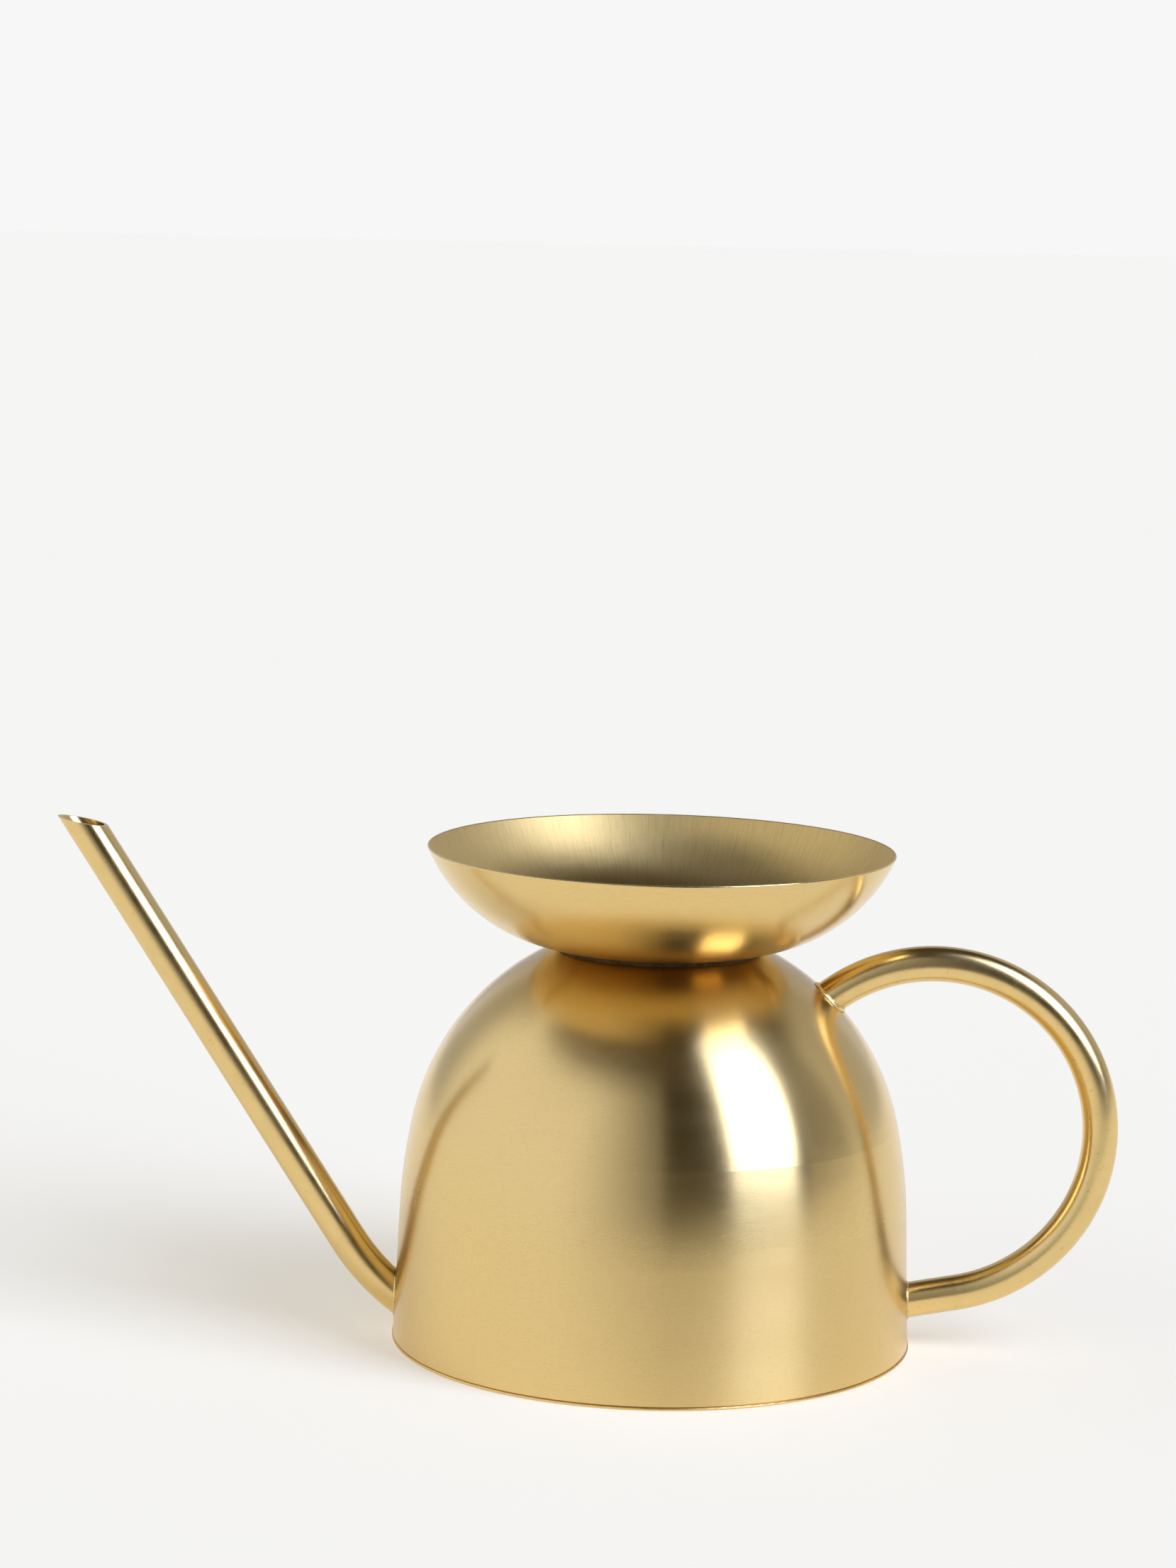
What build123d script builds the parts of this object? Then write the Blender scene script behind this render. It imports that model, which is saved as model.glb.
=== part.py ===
from build123d import *
import math
import os

# A brazed brass watering can. Millimetres, +Z up. The origin is on the axis of the round body, at floor
# level. The spout points to -X and the handle to +X, and the can is symmetric about the plane Y = 0.

# Driving dimensions
BASE_DIAMETER = 150.0  # base disc, the widest round piece
BASE_SHEET = 0.8  # thickness of the base disc
BASE_LIP = 0.3  # how far the base disc stands out past the foot of the wall
BODY_SHEET = 0.8  # wall of the spun body
WALL_LEAN = 2.2  # degrees that the lower wall leans in
DOME_SETBACK = 3.5  # dome radius is the base radius less this
DOME_CENTRE_HEIGHT = 49.9  # centre of the dome's sphere above the floor
SHOULDER_EASE = 78.5  # shoulder arc radius is the dome radius plus this
SEAT_RADIUS = 28.4  # flat land on the dome's crown, which the bowl stands on
BOWL_DIAMETER = 134.4  # over the rim
BOWL_DEPTH = 28.2  # rim to the underside of the bowl's floor
BOWL_CURVE = 46.4  # outside radius of the bowl's rounded side
BOWL_SHEET = 0.8
FILL_HOLE_RADIUS = 20.0  # through the bowl's floor
CROWN_HOLE_MARGIN = 1.0  # the hole in the dome's crown is this much larger in radius
SPOUT_DIAMETER = 10.7
SPOUT_SHEET = 0.8
SPOUT_ENTRY_HEIGHT = 11.15  # centre of the spout where it meets the wall
SPOUT_ENTRY_LEAN = 51.35  # degrees from vertical at the wall
SPOUT_LEAN = 32.8  # degrees from vertical along the straight tube
SPOUT_BEND = 65.0  # centreline radius of the bend at the root
SPOUT_MOUTH_HEIGHT = 147.4  # centre of the slanting mouth
SPOUT_MOUTH_SLOPE = 10.5  # degrees that the mouth rises outwards
SPOUT_INSERT = 1.2  # how far the tube reaches in past the inside of the wall
HANDLE_DIAMETER = 10.2
HANDLE_SHEET = 0.8
HANDLE_RADIUS = 48.7  # centreline radius of the round grip
HANDLE_FOOT_HEIGHT = 12.95  # centre of the lower joint
HANDLE_TAIL = 14.5  # straight length between the lower joint and the arc, or more to clear the bowl
HANDLE_TAIL_RISE = 10.5  # degrees that the tail rises outwards
HANDLE_BOWL_GAP = 3.0  # least gap between the grip and the bowl above it
SPOUT_BRAZE = 0.6  # leg of the braze round the spout
HANDLE_FOOT_BRAZE = 0.6  # leg of the braze round the handle's foot
HANDLE_HEAD_BRAZE = 0.9  # leg of the heavier braze round the handle's upper end
BASE_BRAZE = 2.0  # leg of the braze inside the base seam
NECK_BRAZE_WIDTH = 1.9  # how far the braze under the bowl stands out from the land
EDGE_ROUND = 0.3  # rounding of the rim and of the base disc's edge
SEAM_CHAMFER = 0.25  # on the foot of the wall, which shows as a fine line above the base disc
SEAM_TOLERANCE = 0.001  # how near an edge lies to both surfaces that it joins

ON_BOTTOM = (Align.CENTER, Align.CENTER, Align.MIN)

# Sizes that follow
BASE_RADIUS = BASE_DIAMETER / 2
FOOT_RADIUS = BASE_RADIUS - BASE_LIP
DOME_RADIUS = BASE_RADIUS - DOME_SETBACK
SHOULDER_RADIUS = DOME_RADIUS + SHOULDER_EASE
LEAN = math.radians(WALL_LEAN)
SEAT_HEIGHT = DOME_CENTRE_HEIGHT + math.sqrt(DOME_RADIUS**2 - SEAT_RADIUS**2)
RIM_HEIGHT = SEAT_HEIGHT + BOWL_DEPTH
RIM_RADIUS = BOWL_DIAMETER / 2
CROWN_HOLE_RADIUS = FILL_HOLE_RADIUS + CROWN_HOLE_MARGIN

# The shoulder arc is tangent to the leaning wall below it and to the dome's sphere above it.
SHOULDER_TOP = LEAN + math.acos(
    ((DOME_CENTRE_HEIGHT - BASE_SHEET) * math.sin(LEAN) + SHOULDER_RADIUS - FOOT_RADIUS * math.cos(LEAN))
    / SHOULDER_EASE
)
SHOULDER_CENTRE = (
    -SHOULDER_EASE * math.cos(SHOULDER_TOP),
    DOME_CENTRE_HEIGHT - SHOULDER_EASE * math.sin(SHOULDER_TOP),
)
DOME_CENTRE = (0.0, DOME_CENTRE_HEIGHT)
BOWL_CENTRE_HEIGHT = SEAT_HEIGHT + BOWL_CURVE
BOWL_CENTRE = (
    RIM_RADIUS - math.sqrt(BOWL_CURVE**2 - (BOWL_CENTRE_HEIGHT - RIM_HEIGHT) ** 2),
    BOWL_CENTRE_HEIGHT,
)


def profile_point(radius, height):
    """A point of a turned profile, drawn in the plane X = 0 so that the seam is at the back."""
    return Vector(0, radius, height)


def on_circle(centre, radius, angle):
    return profile_point(centre[0] + radius * math.cos(angle), centre[1] + radius * math.sin(angle))


def profile_arc(centre, radius, start, end):
    middle = (start + end) / 2
    return ThreePointArc(
        on_circle(centre, radius, start), on_circle(centre, radius, middle), on_circle(centre, radius, end)
    )


def turned(edges):
    return revolve(make_face(edges), Axis.Z)


def wall_radius(height):
    """Outside radius of the straight lower wall."""
    return FOOT_RADIUS - (height - BASE_SHEET) * math.tan(LEAN)


def body_curve(inset, seat_height, foot_height=BASE_SHEET):
    """The body's outline moved in by inset, from foot_height up to seat_height on the dome."""
    foot = profile_point(wall_radius(foot_height) - inset / math.cos(LEAN), foot_height)
    shoulder = profile_arc(SHOULDER_CENTRE, SHOULDER_RADIUS - inset, LEAN, SHOULDER_TOP)
    seat_angle = math.asin((seat_height - DOME_CENTRE_HEIGHT) / (DOME_RADIUS - inset))
    dome = profile_arc(DOME_CENTRE, DOME_RADIUS - inset, SHOULDER_TOP, seat_angle)
    return [Line(foot, shoulder @ 0), shoulder, dome]


def filled_body(inset=0.0):
    """The volume inside the outline moved in by inset, with its wall carried on below the floor."""
    seat_height = SEAT_HEIGHT - inset
    foot_height = -SPOUT_DIAMETER
    curve = body_curve(inset, seat_height, foot_height)
    top = profile_point(0, seat_height)
    bottom = profile_point(0, foot_height)
    return turned(curve + [Line(curve[-1] @ 1, top), Line(top, bottom), Line(bottom, curve[0] @ 0)])


def make_body_shell():
    """Spun wall, shoulder and dome in one piece, with a pierced flat land at the crown."""
    outside = body_curve(0.0, SEAT_HEIGHT)
    inside = body_curve(BODY_SHEET, SEAT_HEIGHT - BODY_SHEET)
    hole_top = profile_point(CROWN_HOLE_RADIUS, SEAT_HEIGHT)
    hole_bottom = profile_point(CROWN_HOLE_RADIUS, SEAT_HEIGHT - BODY_SHEET)
    land = [Line(outside[-1] @ 1, hole_top), Line(hole_top, hole_bottom), Line(hole_bottom, inside[-1] @ 1)]
    shell = turned(outside + land + inside + [Line(inside[0] @ 0, outside[0] @ 0)])
    foot_edge = shell.edges().filter_by(GeomType.CIRCLE).sort_by(Axis.Z)[:2].sort_by(SortBy.RADIUS)[-1]
    return chamfer(foot_edge, SEAM_CHAMFER)


def make_base_disc():
    disc = Cylinder(BASE_RADIUS, BASE_SHEET, align=ON_BOTTOM)
    return fillet(disc.edges().filter_by(GeomType.CIRCLE), EDGE_ROUND)


def bowl_curve(inset):
    """The bowl's rounded side moved in by inset, from the rim down to its floor."""
    radius = BOWL_CURVE - inset
    rim_angle = -math.asin((BOWL_CENTRE_HEIGHT - RIM_HEIGHT) / radius)
    return profile_arc(BOWL_CENTRE, radius, rim_angle, -math.pi / 2)


def make_bowl():
    """Spun bowl with a flat floor that stands on the dome's land, pierced for filling."""
    outside = bowl_curve(0.0)
    inside = bowl_curve(BOWL_SHEET)
    hole_bottom = profile_point(FILL_HOLE_RADIUS, SEAT_HEIGHT)
    hole_top = profile_point(FILL_HOLE_RADIUS, SEAT_HEIGHT + BOWL_SHEET)
    bowl = turned(
        [
            outside,
            Line(outside @ 1, hole_bottom),
            Line(hole_bottom, hole_top),
            Line(hole_top, inside @ 1),
            inside,
            Line(inside @ 0, outside @ 0),
        ]
    )
    rim_edges = bowl.edges().filter_by(GeomType.CIRCLE).sort_by(Axis.Z)[-2:]
    return fillet(rim_edges, EDGE_ROUND)


def filled_bowl():
    outside = bowl_curve(0.0)
    floor = profile_point(0, SEAT_HEIGHT)
    top = profile_point(0, RIM_HEIGHT)
    return turned([outside, Line(outside @ 1, floor), Line(floor, top), Line(top, outside @ 0)])


def tube(path, radius):
    """A solid rod of the given radius along a path that starts in the plane Y = 0."""
    start = Plane(origin=path @ 0, x_dir=(0, 1, 0), z_dir=path % 0)
    return sweep(start * Circle(radius), path=path)


def spout_path():
    """Centreline from inside the tank, out through the wall, round the bend and up to the mouth."""
    entry = Vector(-wall_radius(SPOUT_ENTRY_HEIGHT), 0, SPOUT_ENTRY_HEIGHT)
    entry_lean = math.radians(SPOUT_ENTRY_LEAN)
    lean = math.radians(SPOUT_LEAN)
    centre = entry + Vector(math.cos(entry_lean), 0, math.sin(entry_lean)) * SPOUT_BEND
    inner_lean = entry_lean + SPOUT_DIAMETER / SPOUT_BEND

    def bend_point(angle):
        return centre - Vector(math.cos(angle), 0, math.sin(angle)) * SPOUT_BEND

    bend = ThreePointArc(bend_point(inner_lean), bend_point((inner_lean + lean) / 2), bend_point(lean))
    run = (SPOUT_MOUTH_HEIGHT + SPOUT_DIAMETER - (bend @ 1).Z) / math.cos(lean)
    straight = Line(bend @ 1, (bend @ 1) + Vector(-math.sin(lean), 0, math.cos(lean)) * run)
    return Wire([bend, straight])


def above_mouth():
    """Everything above the slanting cut at the spout's mouth."""
    path = spout_path()
    past_mouth = SPOUT_DIAMETER / math.cos(math.radians(SPOUT_LEAN))
    mouth = (path @ 1) - (path % 1) * past_mouth
    size = 4 * SPOUT_DIAMETER
    return Pos(mouth) * Rot(0, SPOUT_MOUTH_SLOPE, 0) * Box(size, size, size, align=ON_BOTTOM)


def handle_foot():
    return Vector(wall_radius(HANDLE_FOOT_HEIGHT), 0, HANDLE_FOOT_HEIGHT)


def handle_tail():
    """The tail's direction and its length, which grows where a large grip would come too near the bowl."""
    along = Vector(1, 0, 0).rotate(Axis.Y, -HANDLE_TAIL_RISE)
    across = along.rotate(Axis.Y, -90)
    clear = HANDLE_RADIUS + HANDLE_DIAMETER / 2 + HANDLE_BOWL_GAP + BOWL_CURVE
    from_bowl = handle_foot() + across * HANDLE_RADIUS - Vector(BOWL_CENTRE[0], 0, BOWL_CENTRE[1])
    before = from_bowl.dot(along)
    reach = math.sqrt(max(0, before**2 + clear**2 - from_bowl.dot(from_bowl)))
    return along, max(HANDLE_TAIL, reach - before)


def handle_centre():
    along, length = handle_tail()
    return handle_foot() + along * length + along.rotate(Axis.Y, -90) * HANDLE_RADIUS


def handle_head_angle():
    """Angle round the handle's centre at which its centreline meets the dome."""
    centre = handle_centre()
    across = centre.X
    down = centre.Z - DOME_CENTRE_HEIGHT
    distance = math.hypot(across, down)
    opening = math.acos((distance**2 + HANDLE_RADIUS**2 - DOME_RADIUS**2) / (2 * distance * HANDLE_RADIUS))
    return math.pi + math.atan2(down, across) - opening


def handle_point(angle):
    return handle_centre() + Vector(math.cos(angle), 0, math.sin(angle)) * HANDLE_RADIUS


def handle_path():
    """Centreline from inside the wall, along the tail, round the grip and into the dome."""
    start = math.radians(HANDLE_TAIL_RISE) - math.pi / 2
    end = handle_head_angle() + HANDLE_DIAMETER / HANDLE_RADIUS
    grip = ThreePointArc(handle_point(start), handle_point((start + end) / 2), handle_point(end))
    along, length = handle_tail()
    tail_start = (grip @ 0) - along * (length + HANDLE_DIAMETER)
    return Wire([Line(tail_start, grip @ 0), grip])


def lies_on(edge, shape):
    """Whether a point part of the way along the edge is on the shape's surface."""
    return Vertex(edge @ 0.4).distance_to(shape.shells()[0]) < SEAM_TOLERANCE


def braze_ring(rod, body, leg):
    """The ring of filler metal in the corner between a tube and the body."""
    joined = body + rod
    seam = [edge for edge in joined.edges() if lies_on(edge, rod) and lies_on(edge, body)]
    ring = chamfer(seam, leg) - body - rod
    return ring.solids().sort_by(SortBy.VOLUME)[-1]


def make_neck_braze():
    """Filler metal in the crevice between the bowl's floor and the dome, outside the land."""
    width = NECK_BRAZE_WIDTH
    inner = profile_point(SEAT_RADIUS, SEAT_HEIGHT - width)
    corners = [
        inner,
        inner + profile_point(width, 0),
        inner + profile_point(width, 2 * width),
        inner + profile_point(0, 2 * width),
    ]
    ring = turned([Line(a, b) for a, b in zip(corners, corners[1:] + corners[:1])])
    ring = ring - filled_body() - filled_bowl()
    return ring.solids().sort_by(SortBy.VOLUME)[-1]


def make_base_braze():
    """Filler metal all round the inside corner between the wall and the base disc."""
    inside = FOOT_RADIUS - BODY_SHEET / math.cos(LEAN)
    corner = profile_point(inside, BASE_SHEET)
    up = profile_point(inside - BASE_BRAZE * math.tan(LEAN), BASE_SHEET + BASE_BRAZE)
    across = profile_point(inside - BASE_BRAZE, BASE_SHEET)
    return turned([Line(corner, up), Line(up, across), Line(across, corner)])


def make_parts():
    body = filled_body()
    spout_rod = tube(spout_path(), SPOUT_DIAMETER / 2)
    spout_bore = tube(spout_path(), SPOUT_DIAMETER / 2 - SPOUT_SHEET)
    spout = spout_rod - spout_bore - above_mouth() - filled_body(BODY_SHEET + SPOUT_INSERT)
    handle_rod = tube(handle_path(), HANDLE_DIAMETER / 2)
    handle_bore = tube(handle_path(), HANDLE_DIAMETER / 2 - HANDLE_SHEET)
    mid_grip = handle_point(0)
    upper_half = Pos(mid_grip) * Box(4 * mid_grip.X, BASE_DIAMETER, RIM_HEIGHT, align=ON_BOTTOM)
    return {
        "body_shell": make_body_shell() - spout_rod,
        "base_disc": make_base_disc(),
        "funnel_bowl": make_bowl(),
        "spout_tube": spout,
        "handle_tube": handle_rod - handle_bore - body,
        "neck_braze": make_neck_braze(),
        "base_braze": make_base_braze(),
        "spout_braze": braze_ring(spout_rod, body, SPOUT_BRAZE),
        "handle_foot_braze": braze_ring(handle_rod - upper_half, body, HANDLE_FOOT_BRAZE),
        "handle_head_braze": braze_ring(handle_rod & upper_half, body, HANDLE_HEAD_BRAZE),
    }


os.makedirs("parts", exist_ok=True)
for name, shape in make_parts().items():
    export_step(shape, f"parts/{name}.step")
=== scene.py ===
import math

import bmesh
import bpy
from mathutils import Matrix, Vector, noise


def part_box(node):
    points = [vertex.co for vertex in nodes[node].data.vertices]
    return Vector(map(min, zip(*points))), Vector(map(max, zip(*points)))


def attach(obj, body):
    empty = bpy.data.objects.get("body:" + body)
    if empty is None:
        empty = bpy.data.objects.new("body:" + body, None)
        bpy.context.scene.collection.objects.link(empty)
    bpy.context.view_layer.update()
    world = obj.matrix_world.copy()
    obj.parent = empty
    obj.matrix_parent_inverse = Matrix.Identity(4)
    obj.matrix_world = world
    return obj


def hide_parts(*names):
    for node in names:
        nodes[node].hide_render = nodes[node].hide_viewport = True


# A brushed-brass watering can on a pale studio floor. Metres, in the same frame as the CAD.

MM = 0.001

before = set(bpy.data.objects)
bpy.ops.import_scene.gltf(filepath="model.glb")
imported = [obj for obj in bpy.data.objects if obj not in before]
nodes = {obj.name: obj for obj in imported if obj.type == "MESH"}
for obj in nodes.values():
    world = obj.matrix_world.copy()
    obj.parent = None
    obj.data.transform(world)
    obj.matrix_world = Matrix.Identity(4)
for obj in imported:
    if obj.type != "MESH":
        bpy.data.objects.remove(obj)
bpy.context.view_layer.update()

# Camera: a tall picture from slightly above, aimed a little below the horizon. Angles are in degrees.
CAMERA_PLACE = (-0.00017, -1.14019, 0.32041)
CAMERA_TURN = 1.076  # from straight ahead, +Y, towards -X
CAMERA_DIP = 7.926  # below the horizon
CAMERA_ROLL = 1.300
CAMERA_LENS = 92.57  # millimetres
CAMERA_SENSOR = 36.0  # millimetres, along the picture's long side

# Brass, as reflectance of the clean metal
BRASS = (0.805, 0.590, 0.250)
BRASS_PALE = (0.840, 0.680, 0.340)  # the filler metal of the beads
BRASS_INSIDE_SHADED = (0.640, 0.455, 0.170)  # inside the bowl: painted shade, darker brass that dims the light box's reflection there
BRASS_SHADE_AND_MARK = (0.600, 0.410, 0.140)  # by the neck, painted shade of the crevice under the bowl; also the colour of the centre mark on the base disc
BRASS_DARK = (0.380, 0.250, 0.080)  # in scratches and nicks
BRAZE_SHADED = (0.100, 0.060, 0.025)  # the filler metal in the neck's crevice and inside the base, near-black as painted shade of the crevices it lies in

# The floor is a lit sheet. The can mirrors it behind FLOOR_FRONT, and mirrors the studio in front of that.
# The mirrored floor is dimmer towards FLOOR_FRONT, apart from its left side. Places are in metres.
FLOOR = (0.87, 0.795, 0.607)
FLOOR_GLOW = (0.37, 0.37, 0.37)  # light that comes up through the sheet
FLOOR_REACH = 60.0
FLOOR_DROP = 0.05 * MM  # how far the sheet lies below the can
FLOOR_FRONT = -0.50
FLOOR_FULL = -0.20  # the floor is at its full brightness back from here
FLOOR_LEFT = (-0.35, -0.10)  # and left of here, with a soft change between the two
FLOOR_DIM = 0.5  # its brightness at FLOOR_FRONT
BLACK = (0.0, 0.0, 0.0)
BACKDROP = (0.930, 0.930, 0.930)

# The studio that the metal mirrors, by direction: a bright surround, and panels that cover it and each other
# in this order. Azimuth 0 is the camera's side and +90 is +X, and all angles are in degrees:
# (azimuth from, to, softness), (elevation from, to, softness), colour, strength.
SURROUND = (0.90, 0.93, 1.03)
ALL_HEIGHTS = (-91, 91, 1)
AZIMUTH_START = -156.0  # azimuths are counted from here, once round
COOL = (0.92, 0.94, 1.00)
WARM = (0.95, 0.78, 0.50)
STUDIO = [
    ((78, 108, 7), ALL_HEIGHTS, (0.88, 0.88, 0.96), 0.40),
    ((108, 152, 8), ALL_HEIGHTS, COOL, 0.52),
    ((152, 204, 8), ALL_HEIGHTS, COOL, 0.58),
    ((-157, -128, 12), ALL_HEIGHTS, COOL, 0.50),
    ((-12, 78, 36), ALL_HEIGHTS, (0.95, 0.80, 0.50), 0.05),
    ((5, 78, 2), ALL_HEIGHTS, (0.95, 0.80, 0.40), 0.035),
    ((-157, 204, 0.1), (51, 91, 5), WARM, 0.06),
    ((-157, -124, 12), (42, 91, 7), WARM, 0.06),
    ((100, 204, 12), (42, 91, 7), WARM, 0.06),
]

# The light box: a tall bright opening in front and to the right. Its angles are in degrees, and its sizes are
# on a plane at distance 1 from the can, from the box's middle.
BOX_AZIMUTH = 59.0
BOX_ELEVATION = 42.0
BOX_TILT = -11.0
BOX_HALF_WIDTH = 0.26
BOX_FLARE = 0.12  # how much wider it is, on each side, for each unit up
BOX_SOFT = 0.04  # of its two side edges
BOX_LOWER = (-0.80, 0.10)  # its light fades in between these heights, and out between the next two
BOX_UPPER = (0.55, 0.75)
BOX_LIGHT = (4.3, 5.0, 7.4)

# The brushed finish of the spun pieces. Each size is (round the axis, along the side), for one noise cell.
ANISOTROPY = 0.75
STRETCH_UP = 0.25  # the highlight's direction, in turns from round the axis
RING_RADIUS = 70 * MM  # the noise is laid out round the axis at this radius
NOISE_START = 1.0  # keeps the noise off its own origin, in metres
CLOUD_SIZE = (22 * MM, 6 * MM)
HAIRLINE_SIZE = (3 * MM, 0.14 * MM)
SCRATCH_SIZE = (0.8 * MM, 0.16 * MM)
SCRATCH_SLANT = 0.15
STREAK_SIZE = (0.22 * MM, 7 * MM)
STREAK_DEPTH = 5.0  # against the hairlines
SPUN_BUMP = 0.14
BUMP_DEPTH = 0.04 * MM
DRIFT = 0.02  # how far the roughness wanders, either way
CENTRE_MARK = 1 * MM  # the radius of the darker spot in the middle of the base disc
SCRATCH_TONE = 0.16  # shares of BRASS_DARK
HAIRLINE_TONE = 0.10
STREAK_TONE = 0.45

# The satin polish of the tubes. Scales are in noise cells per metre.
TUBE_ROUGHNESS = 0.24
TUBE_GRAIN = 2200.0
TUBE_CLOUD = 140.0
TUBE_NICKS = 900.0
TUBE_BUMP = 0.18
NICK_DEPTH = 0.6
NICK_TONE = 0.25
RUB_TONE = 0.05

# The filler metal
FILLER_ROUGHNESS = 0.25
FILLER_DULL_ROUGHNESS = 0.65
FILLER_LUMPS = 900.0
FILLER_BUMP = 0.4
FILLER_DEPTH = 0.15 * MM
FILLER_DEEPER = (0.85, 0.75, 0.60)  # the colour in its hollows, as shares of its own
BEAD_VOXEL = 0.13 * MM
BEAD_WAVE = 1.1 * MM
BEAD_SMOOTHING = 3
GOB_REACH = 5 * MM


class Graph:
    """A short way to write a node tree: values that are sockets are linked, others are set."""

    def __init__(self, tree):
        self.tree = tree
        tree.nodes.clear()

    def add(self, kind, inputs=(), **settings):
        node = self.tree.nodes.new(kind)
        for name, value in settings.items():
            setattr(node, name, value)
        for name, value in dict(inputs).items():
            self.put(node, name, value)
        return node

    def put(self, node, name, value):
        if isinstance(value, bpy.types.NodeSocket):
            self.tree.links.new(value, node.inputs[name])
        else:
            node.inputs[name].default_value = value

    def math(self, operation, *values):
        return self.add("ShaderNodeMath", enumerate(values), operation=operation).outputs[0]

    def vector(self, x, y, z):
        return self.add("ShaderNodeCombineXYZ", enumerate((x, y, z))).outputs[0]

    def split(self, vector):
        return self.add("ShaderNodeSeparateXYZ", {0: vector}).outputs

    def dot(self, vector, axis):
        inputs = {0: vector, 1: tuple(axis)}
        return self.add("ShaderNodeVectorMath", inputs, operation="DOT_PRODUCT").outputs["Value"]

    def ramp(self, value, low, high, to_low=0.0, to_high=1.0, smooth=True):
        kind = "SMOOTHSTEP" if smooth else "LINEAR"
        inputs = {"Value": value, "From Min": low, "From Max": high, "To Min": to_low, "To Max": to_high}
        return self.add("ShaderNodeMapRange", inputs, interpolation_type=kind).outputs["Result"]

    def noise(self, vector, scale, detail):
        inputs = {"Vector": vector, "Scale": scale, "Detail": detail}
        return self.add("ShaderNodeTexNoise", inputs).outputs["Fac"]

    def place(self):
        """The place on the object, which is the shared frame's."""
        return self.add("ShaderNodeTexCoord").outputs["Object"]

    def axis_radius(self):
        """The distance from the upright axis."""
        x, y = self.split(self.place())[:2]
        square = self.math("ADD", self.math("MULTIPLY", x, x), self.math("MULTIPLY", y, y))
        return self.math("SQRT", square)

    def bump(self, strength, distance, height):
        inputs = {"Strength": strength, "Distance": distance, "Height": height}
        return self.add("ShaderNodeBump", inputs).outputs[0]

    def seen_directly(self):
        """1 for what the camera sees, and 0 for what is mirrored or lit."""
        return self.add("ShaderNodeLightPath").outputs["Is Camera Ray"]

    def mix(self, factor, first, second):
        """Two colours mixed. The sockets go by number: the node has several of each name."""
        node = self.add("ShaderNodeMix", data_type="RGBA")
        for socket, value in zip((node.inputs[0], node.inputs[6], node.inputs[7]), (factor, first, second)):
            if isinstance(value, bpy.types.NodeSocket):
                self.tree.links.new(value, socket)
            elif isinstance(value, tuple):
                socket.default_value = (*value, 1.0)
            else:
                socket.default_value = value
        return node.outputs[2]


def band(graph, angle, low, high, soft):
    """1 between two angles and 0 outside, with soft edges."""
    rise = graph.ramp(angle, low - soft, low + soft)
    fall = graph.ramp(angle, high - soft, high + soft, 1.0, 0.0)
    return graph.math("MULTIPLY", rise, fall)


def light_box(graph, direction):
    """1 where a direction meets the big tilted light box in front and to the right, and 0 elsewhere."""
    azimuth, elevation = math.radians(BOX_AZIMUTH), math.radians(BOX_ELEVATION)
    middle = Vector((math.sin(azimuth), -math.cos(azimuth), math.tan(elevation))).normalized()
    across = Vector((math.cos(azimuth), math.sin(azimuth), 0))
    upward = across.cross(middle)
    tilt = Matrix.Rotation(math.radians(BOX_TILT), 3, middle)
    depth = graph.dot(direction, middle)
    in_front = graph.math("GREATER_THAN", depth, 0.01)
    aside = graph.math("DIVIDE", graph.dot(direction, tilt @ across), depth)
    above = graph.math("DIVIDE", graph.dot(direction, tilt @ upward), depth)
    width = graph.math("ADD", graph.math("MULTIPLY", above, BOX_FLARE), BOX_HALF_WIDTH)
    past = graph.math("SUBTRACT", graph.math("ABSOLUTE", aside), width)
    mask = graph.math("MULTIPLY", in_front, graph.ramp(past, -BOX_SOFT, BOX_SOFT, 1.0, 0.0))
    mask = graph.math("MULTIPLY", mask, graph.ramp(above, *BOX_LOWER))
    return graph.math("MULTIPLY", mask, graph.ramp(above, *BOX_UPPER, 1.0, 0.0))


def make_world():
    """The soft studio round the can, as a function of direction. The camera itself sees a plain backdrop."""
    world = bpy.data.worlds.new("studio")
    bpy.context.scene.world = world
    world.use_nodes = True
    graph = Graph(world.node_tree)
    direction = graph.add("ShaderNodeTexCoord").outputs["Generated"]
    x, y, z = graph.split(direction)
    azimuth = graph.math("DEGREES", graph.math("ARCTAN2", x, graph.math("MULTIPLY", y, -1.0)))
    azimuth = graph.math("WRAP", azimuth, AZIMUTH_START + 360, AZIMUTH_START)
    elevation = graph.math("DEGREES", graph.math("ARCSINE", z))
    light = SURROUND
    for across, height, colour, strength in STUDIO:
        mask = graph.math("MULTIPLY", band(graph, azimuth, *across), band(graph, elevation, *height))
        light = graph.mix(mask, light, tuple(c * strength for c in colour))
    light = graph.mix(light_box(graph, direction), light, BOX_LIGHT)
    light = graph.mix(graph.seen_directly(), light, BACKDROP)
    background = graph.add("ShaderNodeBackground", {"Color": light, "Strength": 1.0})
    output = graph.add("ShaderNodeOutputWorld")
    graph.put(output, "Surface", background.outputs[0])


def make_camera():
    data = bpy.data.cameras.new("camera")
    data.lens = CAMERA_LENS
    data.sensor_width = CAMERA_SENSOR
    data.sensor_fit = "AUTO"
    data.clip_start = 10 * MM
    camera = bpy.data.objects.new("camera", data)
    turn = Matrix.Rotation(math.radians(CAMERA_TURN), 4, "Z")
    dip = Matrix.Rotation(math.radians(90 - CAMERA_DIP), 4, "X")
    roll = Matrix.Rotation(math.radians(CAMERA_ROLL), 4, "Z")
    camera.matrix_world = Matrix.Translation(CAMERA_PLACE) @ turn @ dip @ roll
    bpy.context.scene.collection.objects.link(camera)
    bpy.context.scene.camera = camera


def new_material(name, base, roughness, anisotropic=0.0):
    """A metallic material, its node graph and its shader."""
    material = bpy.data.materials.new(name)
    material.use_nodes = True
    graph = Graph(material.node_tree)
    inputs = {"Base Color": (*base, 1.0), "Metallic": 1.0, "Roughness": roughness, "Anisotropic": anisotropic}
    shader = graph.add("ShaderNodeBsdfPrincipled", inputs)
    output = graph.add("ShaderNodeOutputMaterial")
    graph.put(output, "Surface", shader.outputs[0])
    return material, graph, shader


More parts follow.
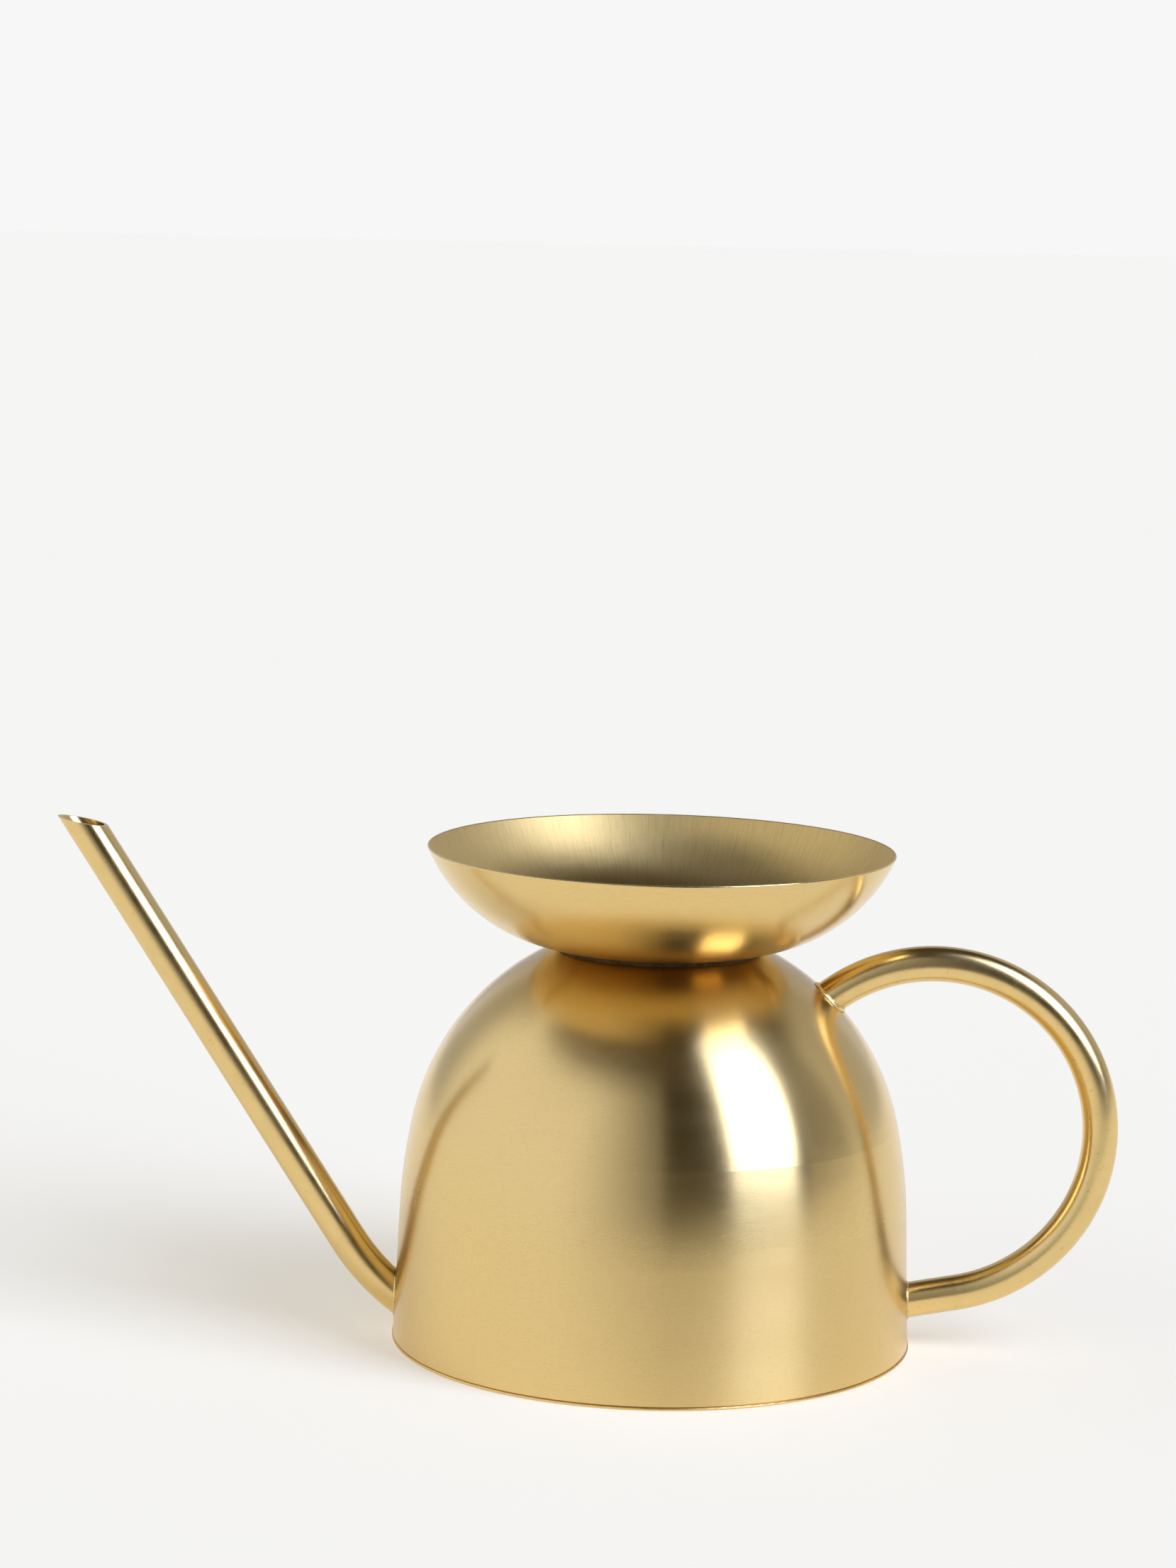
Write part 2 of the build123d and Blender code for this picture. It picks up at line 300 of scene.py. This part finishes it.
def round_place(graph, rise, spread):
    """A place on a spun surface: the direction from the axis, at one radius, and a height along its side.

    rise and spread are how much that height counts the place's own height and its distance from the axis.
    """
    x, y, z = graph.split(graph.place())
    radius = graph.math("MAXIMUM", graph.axis_radius(), 1 * MM)
    along_x = graph.math("MULTIPLY", graph.math("DIVIDE", x, radius), RING_RADIUS)
    along_y = graph.math("MULTIPLY", graph.math("DIVIDE", y, radius), RING_RADIUS)
    height = graph.math("ADD", graph.math("MULTIPLY", z, rise), graph.math("MULTIPLY", radius, spread))
    return along_x, along_y, graph.math("ADD", height, NOISE_START)


def facing_axis(graph):
    """Below 0 where the surface looks towards the upright axis, and above 0 where it looks away from it."""
    normal = graph.add("ShaderNodeNewGeometry").outputs["Normal"]
    flat = {0: graph.place(), 1: (1.0, 1.0, 0.0)}
    outward = graph.add("ShaderNodeVectorMath", flat, operation="MULTIPLY").outputs[0]
    outward = graph.add("ShaderNodeVectorMath", {0: outward}, operation="NORMALIZE").outputs[0]
    pair = {0: outward, 1: normal}
    return graph.add("ShaderNodeVectorMath", pair, operation="DOT_PRODUCT").outputs["Value"]


def grain(graph, place, size, detail, slant=0.0):
    """Noise in cells of this size, round the axis and along the side. slant tilts them."""
    x, y, height = place
    length, width = size
    if slant:
        height = graph.math("ADD", height, graph.math("MULTIPLY", x, slant))
    spots = graph.vector(
        graph.math("DIVIDE", x, length),
        graph.math("DIVIDE", y, length),
        graph.math("DIVIDE", height, width),
    )
    return graph.noise(spots, 1.0, detail)


def make_spun(name, rise, spread, roughness, polish=None, shade_and_mark=None, inside=None):
    """Brass brushed round its axis: hairlines, short scratches, and a slow unevenness of the finish.

    rise and spread are as in round_place. polish is (height from, to, roughness above). shade_and_mark is the
    two radii between which the darker colour fades out: painted shade by the neck, and the base disc's centre
    mark. inside is the roughness of the surface that faces the axis, where streaks run out from the axis
    instead, over darker brass that is painted shade.
    """
    material, graph, shader = new_material(name, BRASS, roughness, ANISOTROPY)
    place = round_place(graph, rise, spread)
    cloud = grain(graph, place, CLOUD_SIZE, 2.0)
    hairlines = grain(graph, place, HAIRLINE_SIZE, 3.0)
    scratches = graph.ramp(grain(graph, place, SCRATCH_SIZE, 1.0, SCRATCH_SLANT), 0.56, 0.74)
    base = BRASS
    rough = roughness
    turn = STRETCH_UP
    height = hairlines
    if shade_and_mark:
        # painted shade by the neck: darker brass nearer the axis. On the base disc the same darkening is its
        # centre mark.
        base = graph.mix(graph.ramp(graph.axis_radius(), *shade_and_mark), BRASS_SHADE_AND_MARK, BRASS)
    if polish:
        low, high, above = polish
        rough = graph.ramp(graph.split(graph.place())[2], low, high, roughness, above)
    if inside:
        outer = graph.ramp(facing_axis(graph), -0.05, 0.05)
        rough = graph.ramp(outer, 0.0, 1.0, inside, roughness)
        turn = graph.math("MULTIPLY", outer, STRETCH_UP)
        streaks = grain(graph, place, STREAK_SIZE, 3.0)
        deep = graph.math("MULTIPLY", streaks, STREAK_DEPTH)
        height = graph.ramp(outer, 0.0, 1.0, deep, hairlines, smooth=False)
        # the inside of the bowl: painted shade as darker brass, with the real brushing streaks over it
        shaded_streaks = graph.mix(graph.ramp(streaks, 0.40, 0.75, 0.0, STREAK_TONE), BRASS_INSIDE_SHADED, BRASS_DARK)
        base = graph.mix(outer, shaded_streaks, base)
    graph.put(shader, "Normal", graph.bump(SPUN_BUMP, BUMP_DEPTH, height))
    drift = graph.ramp(graph.math("ADD", cloud, hairlines), 0.7, 1.3, -DRIFT, DRIFT, smooth=False)
    graph.put(shader, "Roughness", graph.math("ADD", rough, drift))
    marks = graph.math("MULTIPLY", scratches, SCRATCH_TONE)
    marks = graph.math("ADD", marks, graph.ramp(hairlines, 0.45, 0.80, 0.0, HAIRLINE_TONE))
    graph.put(shader, "Base Color", graph.mix(marks, base, BRASS_DARK))
    graph.put(shader, "Anisotropic Rotation", turn)
    tangent = graph.add("ShaderNodeTangent", direction_type="RADIAL", axis="Z")
    graph.put(shader, "Tangent", tangent.outputs[0])
    return material


def make_tube(name):
    """Drawn tube with a satin polish: a fine grain, faint rubbing marks and a few dark nicks."""
    material, graph, shader = new_material(name, BRASS, TUBE_ROUGHNESS)
    place = graph.place()
    fine = graph.noise(place, TUBE_GRAIN, 2.0)
    cloud = graph.noise(place, TUBE_CLOUD, 3.0)
    nicks = graph.ramp(graph.noise(place, TUBE_NICKS, 1.0), 0.66, 0.78)
    height = graph.math("ADD", fine, graph.math("MULTIPLY", nicks, -NICK_DEPTH))
    graph.put(shader, "Normal", graph.bump(TUBE_BUMP, BUMP_DEPTH, height))
    rough = graph.ramp(cloud, 0.3, 0.7, TUBE_ROUGHNESS - 0.025, TUBE_ROUGHNESS + 0.03)
    graph.put(shader, "Roughness", rough)
    rubbed = graph.ramp(cloud, 0.45, 0.7, 0.0, RUB_TONE)
    marks = graph.math("ADD", graph.math("MULTIPLY", nicks, NICK_TONE), rubbed)
    graph.put(shader, "Base Color", graph.mix(marks, BRASS, BRASS_DARK))
    return material


def make_filler(name, base, roughness):
    """Filler metal as it set, with small lumps."""
    material, graph, shader = new_material(name, base, roughness)
    lumps = graph.noise(graph.place(), FILLER_LUMPS, 3.0)
    graph.put(shader, "Normal", graph.bump(FILLER_BUMP, FILLER_DEPTH, lumps))
    graph.put(shader, "Roughness", graph.ramp(lumps, 0.3, 0.7, roughness - 0.06, roughness + 0.10))
    deeper = tuple(c * share for c, share in zip(base, FILLER_DEEPER))
    graph.put(shader, "Base Color", graph.mix(graph.ramp(lumps, 0.45, 0.75), base, deeper))
    return material


def make_floor():
    """A plain pale floor that runs into the backdrop. In front of FLOOR_FRONT only the camera sees it."""
    mesh = bpy.data.meshes.new("floor")
    shape = bmesh.new()
    corners = ((-1, -1), (1, -1), (1, 1), (-1, 1))
    shape.faces.new([shape.verts.new((x * FLOOR_REACH, y * FLOOR_REACH, 0)) for x, y in corners])
    shape.to_mesh(mesh)
    shape.free()
    floor = bpy.data.objects.new("floor", mesh)
    floor.location.z = -FLOOR_DROP
    bpy.context.scene.collection.objects.link(floor)
    material = bpy.data.materials.new("floor")
    material.use_nodes = True
    graph = Graph(material.node_tree)
    x, y = graph.split(graph.place())[:2]
    seen = graph.seen_directly()
    share = graph.ramp(y, FLOOR_FRONT, FLOOR_FULL, FLOOR_DIM, 1.0)
    share = graph.math("MAXIMUM", share, graph.ramp(x, *FLOOR_LEFT, 1.0, 0.0))
    share = graph.math("MAXIMUM", share, seen)
    shader = graph.add("ShaderNodeBsdfPrincipled", {"Roughness": 0.9, "Specular IOR Level": 0.0})
    graph.put(shader, "Base Color", graph.mix(share, BLACK, FLOOR))
    graph.put(shader, "Emission Color", graph.mix(share, BLACK, FLOOR_GLOW))
    graph.put(shader, "Emission Strength", 1.0)
    solid = graph.math("MAXIMUM", graph.math("GREATER_THAN", y, FLOOR_FRONT), seen)
    clear = graph.add("ShaderNodeBsdfTransparent")
    surface = graph.add("ShaderNodeMixShader", {0: solid, 1: clear.outputs[0], 2: shader.outputs[0]})
    output = graph.add("ShaderNodeOutputMaterial")
    graph.put(output, "Surface", surface.outputs[0])
    mesh.materials.append(material)


def dress(node, material):
    """Gives a CAD node its finish."""
    mesh = nodes[node].data
    mesh.materials.clear()
    mesh.materials.append(material)


def make_bead(node, material, lump, gob=0.0):
    """The filler metal of one joint as it was run in by hand: the CAD ring, remeshed and made uneven.

    lump is how far its surface wanders, and gob is the extra that has run down to the front of its lower end.
    """
    ring = bpy.data.objects.new(node + "_ring", nodes[node].data.copy())
    bpy.context.scene.collection.objects.link(ring)
    remesh = ring.modifiers.new("remesh", "REMESH")
    remesh.mode = "VOXEL"
    remesh.voxel_size = BEAD_VOXEL
    bpy.context.view_layer.update()
    mesh = bpy.data.meshes.new_from_object(ring.evaluated_get(bpy.context.evaluated_depsgraph_get()))
    bpy.data.objects.remove(ring)
    low, high = (Vector(corner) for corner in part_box(node))
    foot = Vector(((low.x + high.x) / 2, low.y + (high.y - low.y) / 4, low.z))
    shape = bmesh.new()
    shape.from_mesh(mesh)
    shape.normal_update()
    moves = []
    for vertex in shape.verts:
        wander = 0.5 + 0.5 * noise.noise(vertex.co / BEAD_WAVE)
        nearness = max(0.0, 1 - (vertex.co - foot).length / GOB_REACH)
        moves.append(vertex.normal * (lump * wander + gob * nearness * (0.4 + 0.6 * wander)))
    for vertex, move in zip(shape.verts, moves):
        vertex.co += move
    every_axis = {"use_axis_x": True, "use_axis_y": True, "use_axis_z": True}
    for _ in range(BEAD_SMOOTHING):
        bmesh.ops.smooth_vert(shape, verts=shape.verts, factor=0.5, **every_axis)
    for face in shape.faces:
        face.smooth = True
    shape.to_mesh(mesh)
    shape.free()
    mesh.materials.clear()
    mesh.materials.append(material)
    bead = bpy.data.objects.new(node.replace("_braze", "_bead"), mesh)
    bpy.context.scene.collection.objects.link(bead)
    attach(bead, "root")
    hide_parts(node)


make_world()
make_camera()
make_floor()

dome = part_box("body_shell")[1][2]
polish = (0.2 * dome, 0.6 * dome, 0.23)
# the darker brass by the neck is painted shade of the crevice under the bowl
shade_and_mark = (38 * MM, 58 * MM)
spun_body = make_spun("brushed_brass", rise=0.8, spread=-0.6, roughness=0.31, polish=polish, shade_and_mark=shade_and_mark)
shade_and_mark = (34 * MM, 52 * MM)
spun_bowl = make_spun("bowl_brass", rise=0.6, spread=0.8, roughness=0.23, shade_and_mark=shade_and_mark, inside=0.37)
base_brass = make_spun("base_brass", rise=0.2, spread=1.0, roughness=0.33, shade_and_mark=(0.0, CENTRE_MARK))
tube_brass = make_tube("tube_brass")
filler = make_filler("braze", BRASS_PALE, FILLER_ROUGHNESS)
shaded_filler = make_filler("shaded_braze", BRAZE_SHADED, FILLER_DULL_ROUGHNESS)

dress("body_shell", spun_body)
dress("base_disc", base_brass)
dress("funnel_bowl", spun_bowl)
dress("spout_tube", tube_brass)
dress("handle_tube", tube_brass)
make_bead("spout_braze", filler, lump=0.10 * MM)
make_bead("handle_foot_braze", filler, lump=0.10 * MM)
make_bead("handle_head_braze", filler, lump=0.22 * MM, gob=0.55 * MM)
# the brazes in the neck's crevice and inside the base: near-black filler, painted shade
for braze in ("neck_braze", "base_braze"):
    dress(braze, shaded_filler)

bpy.context.scene.view_settings.view_transform = "Standard"
bpy.context.scene.view_settings.look = "None"
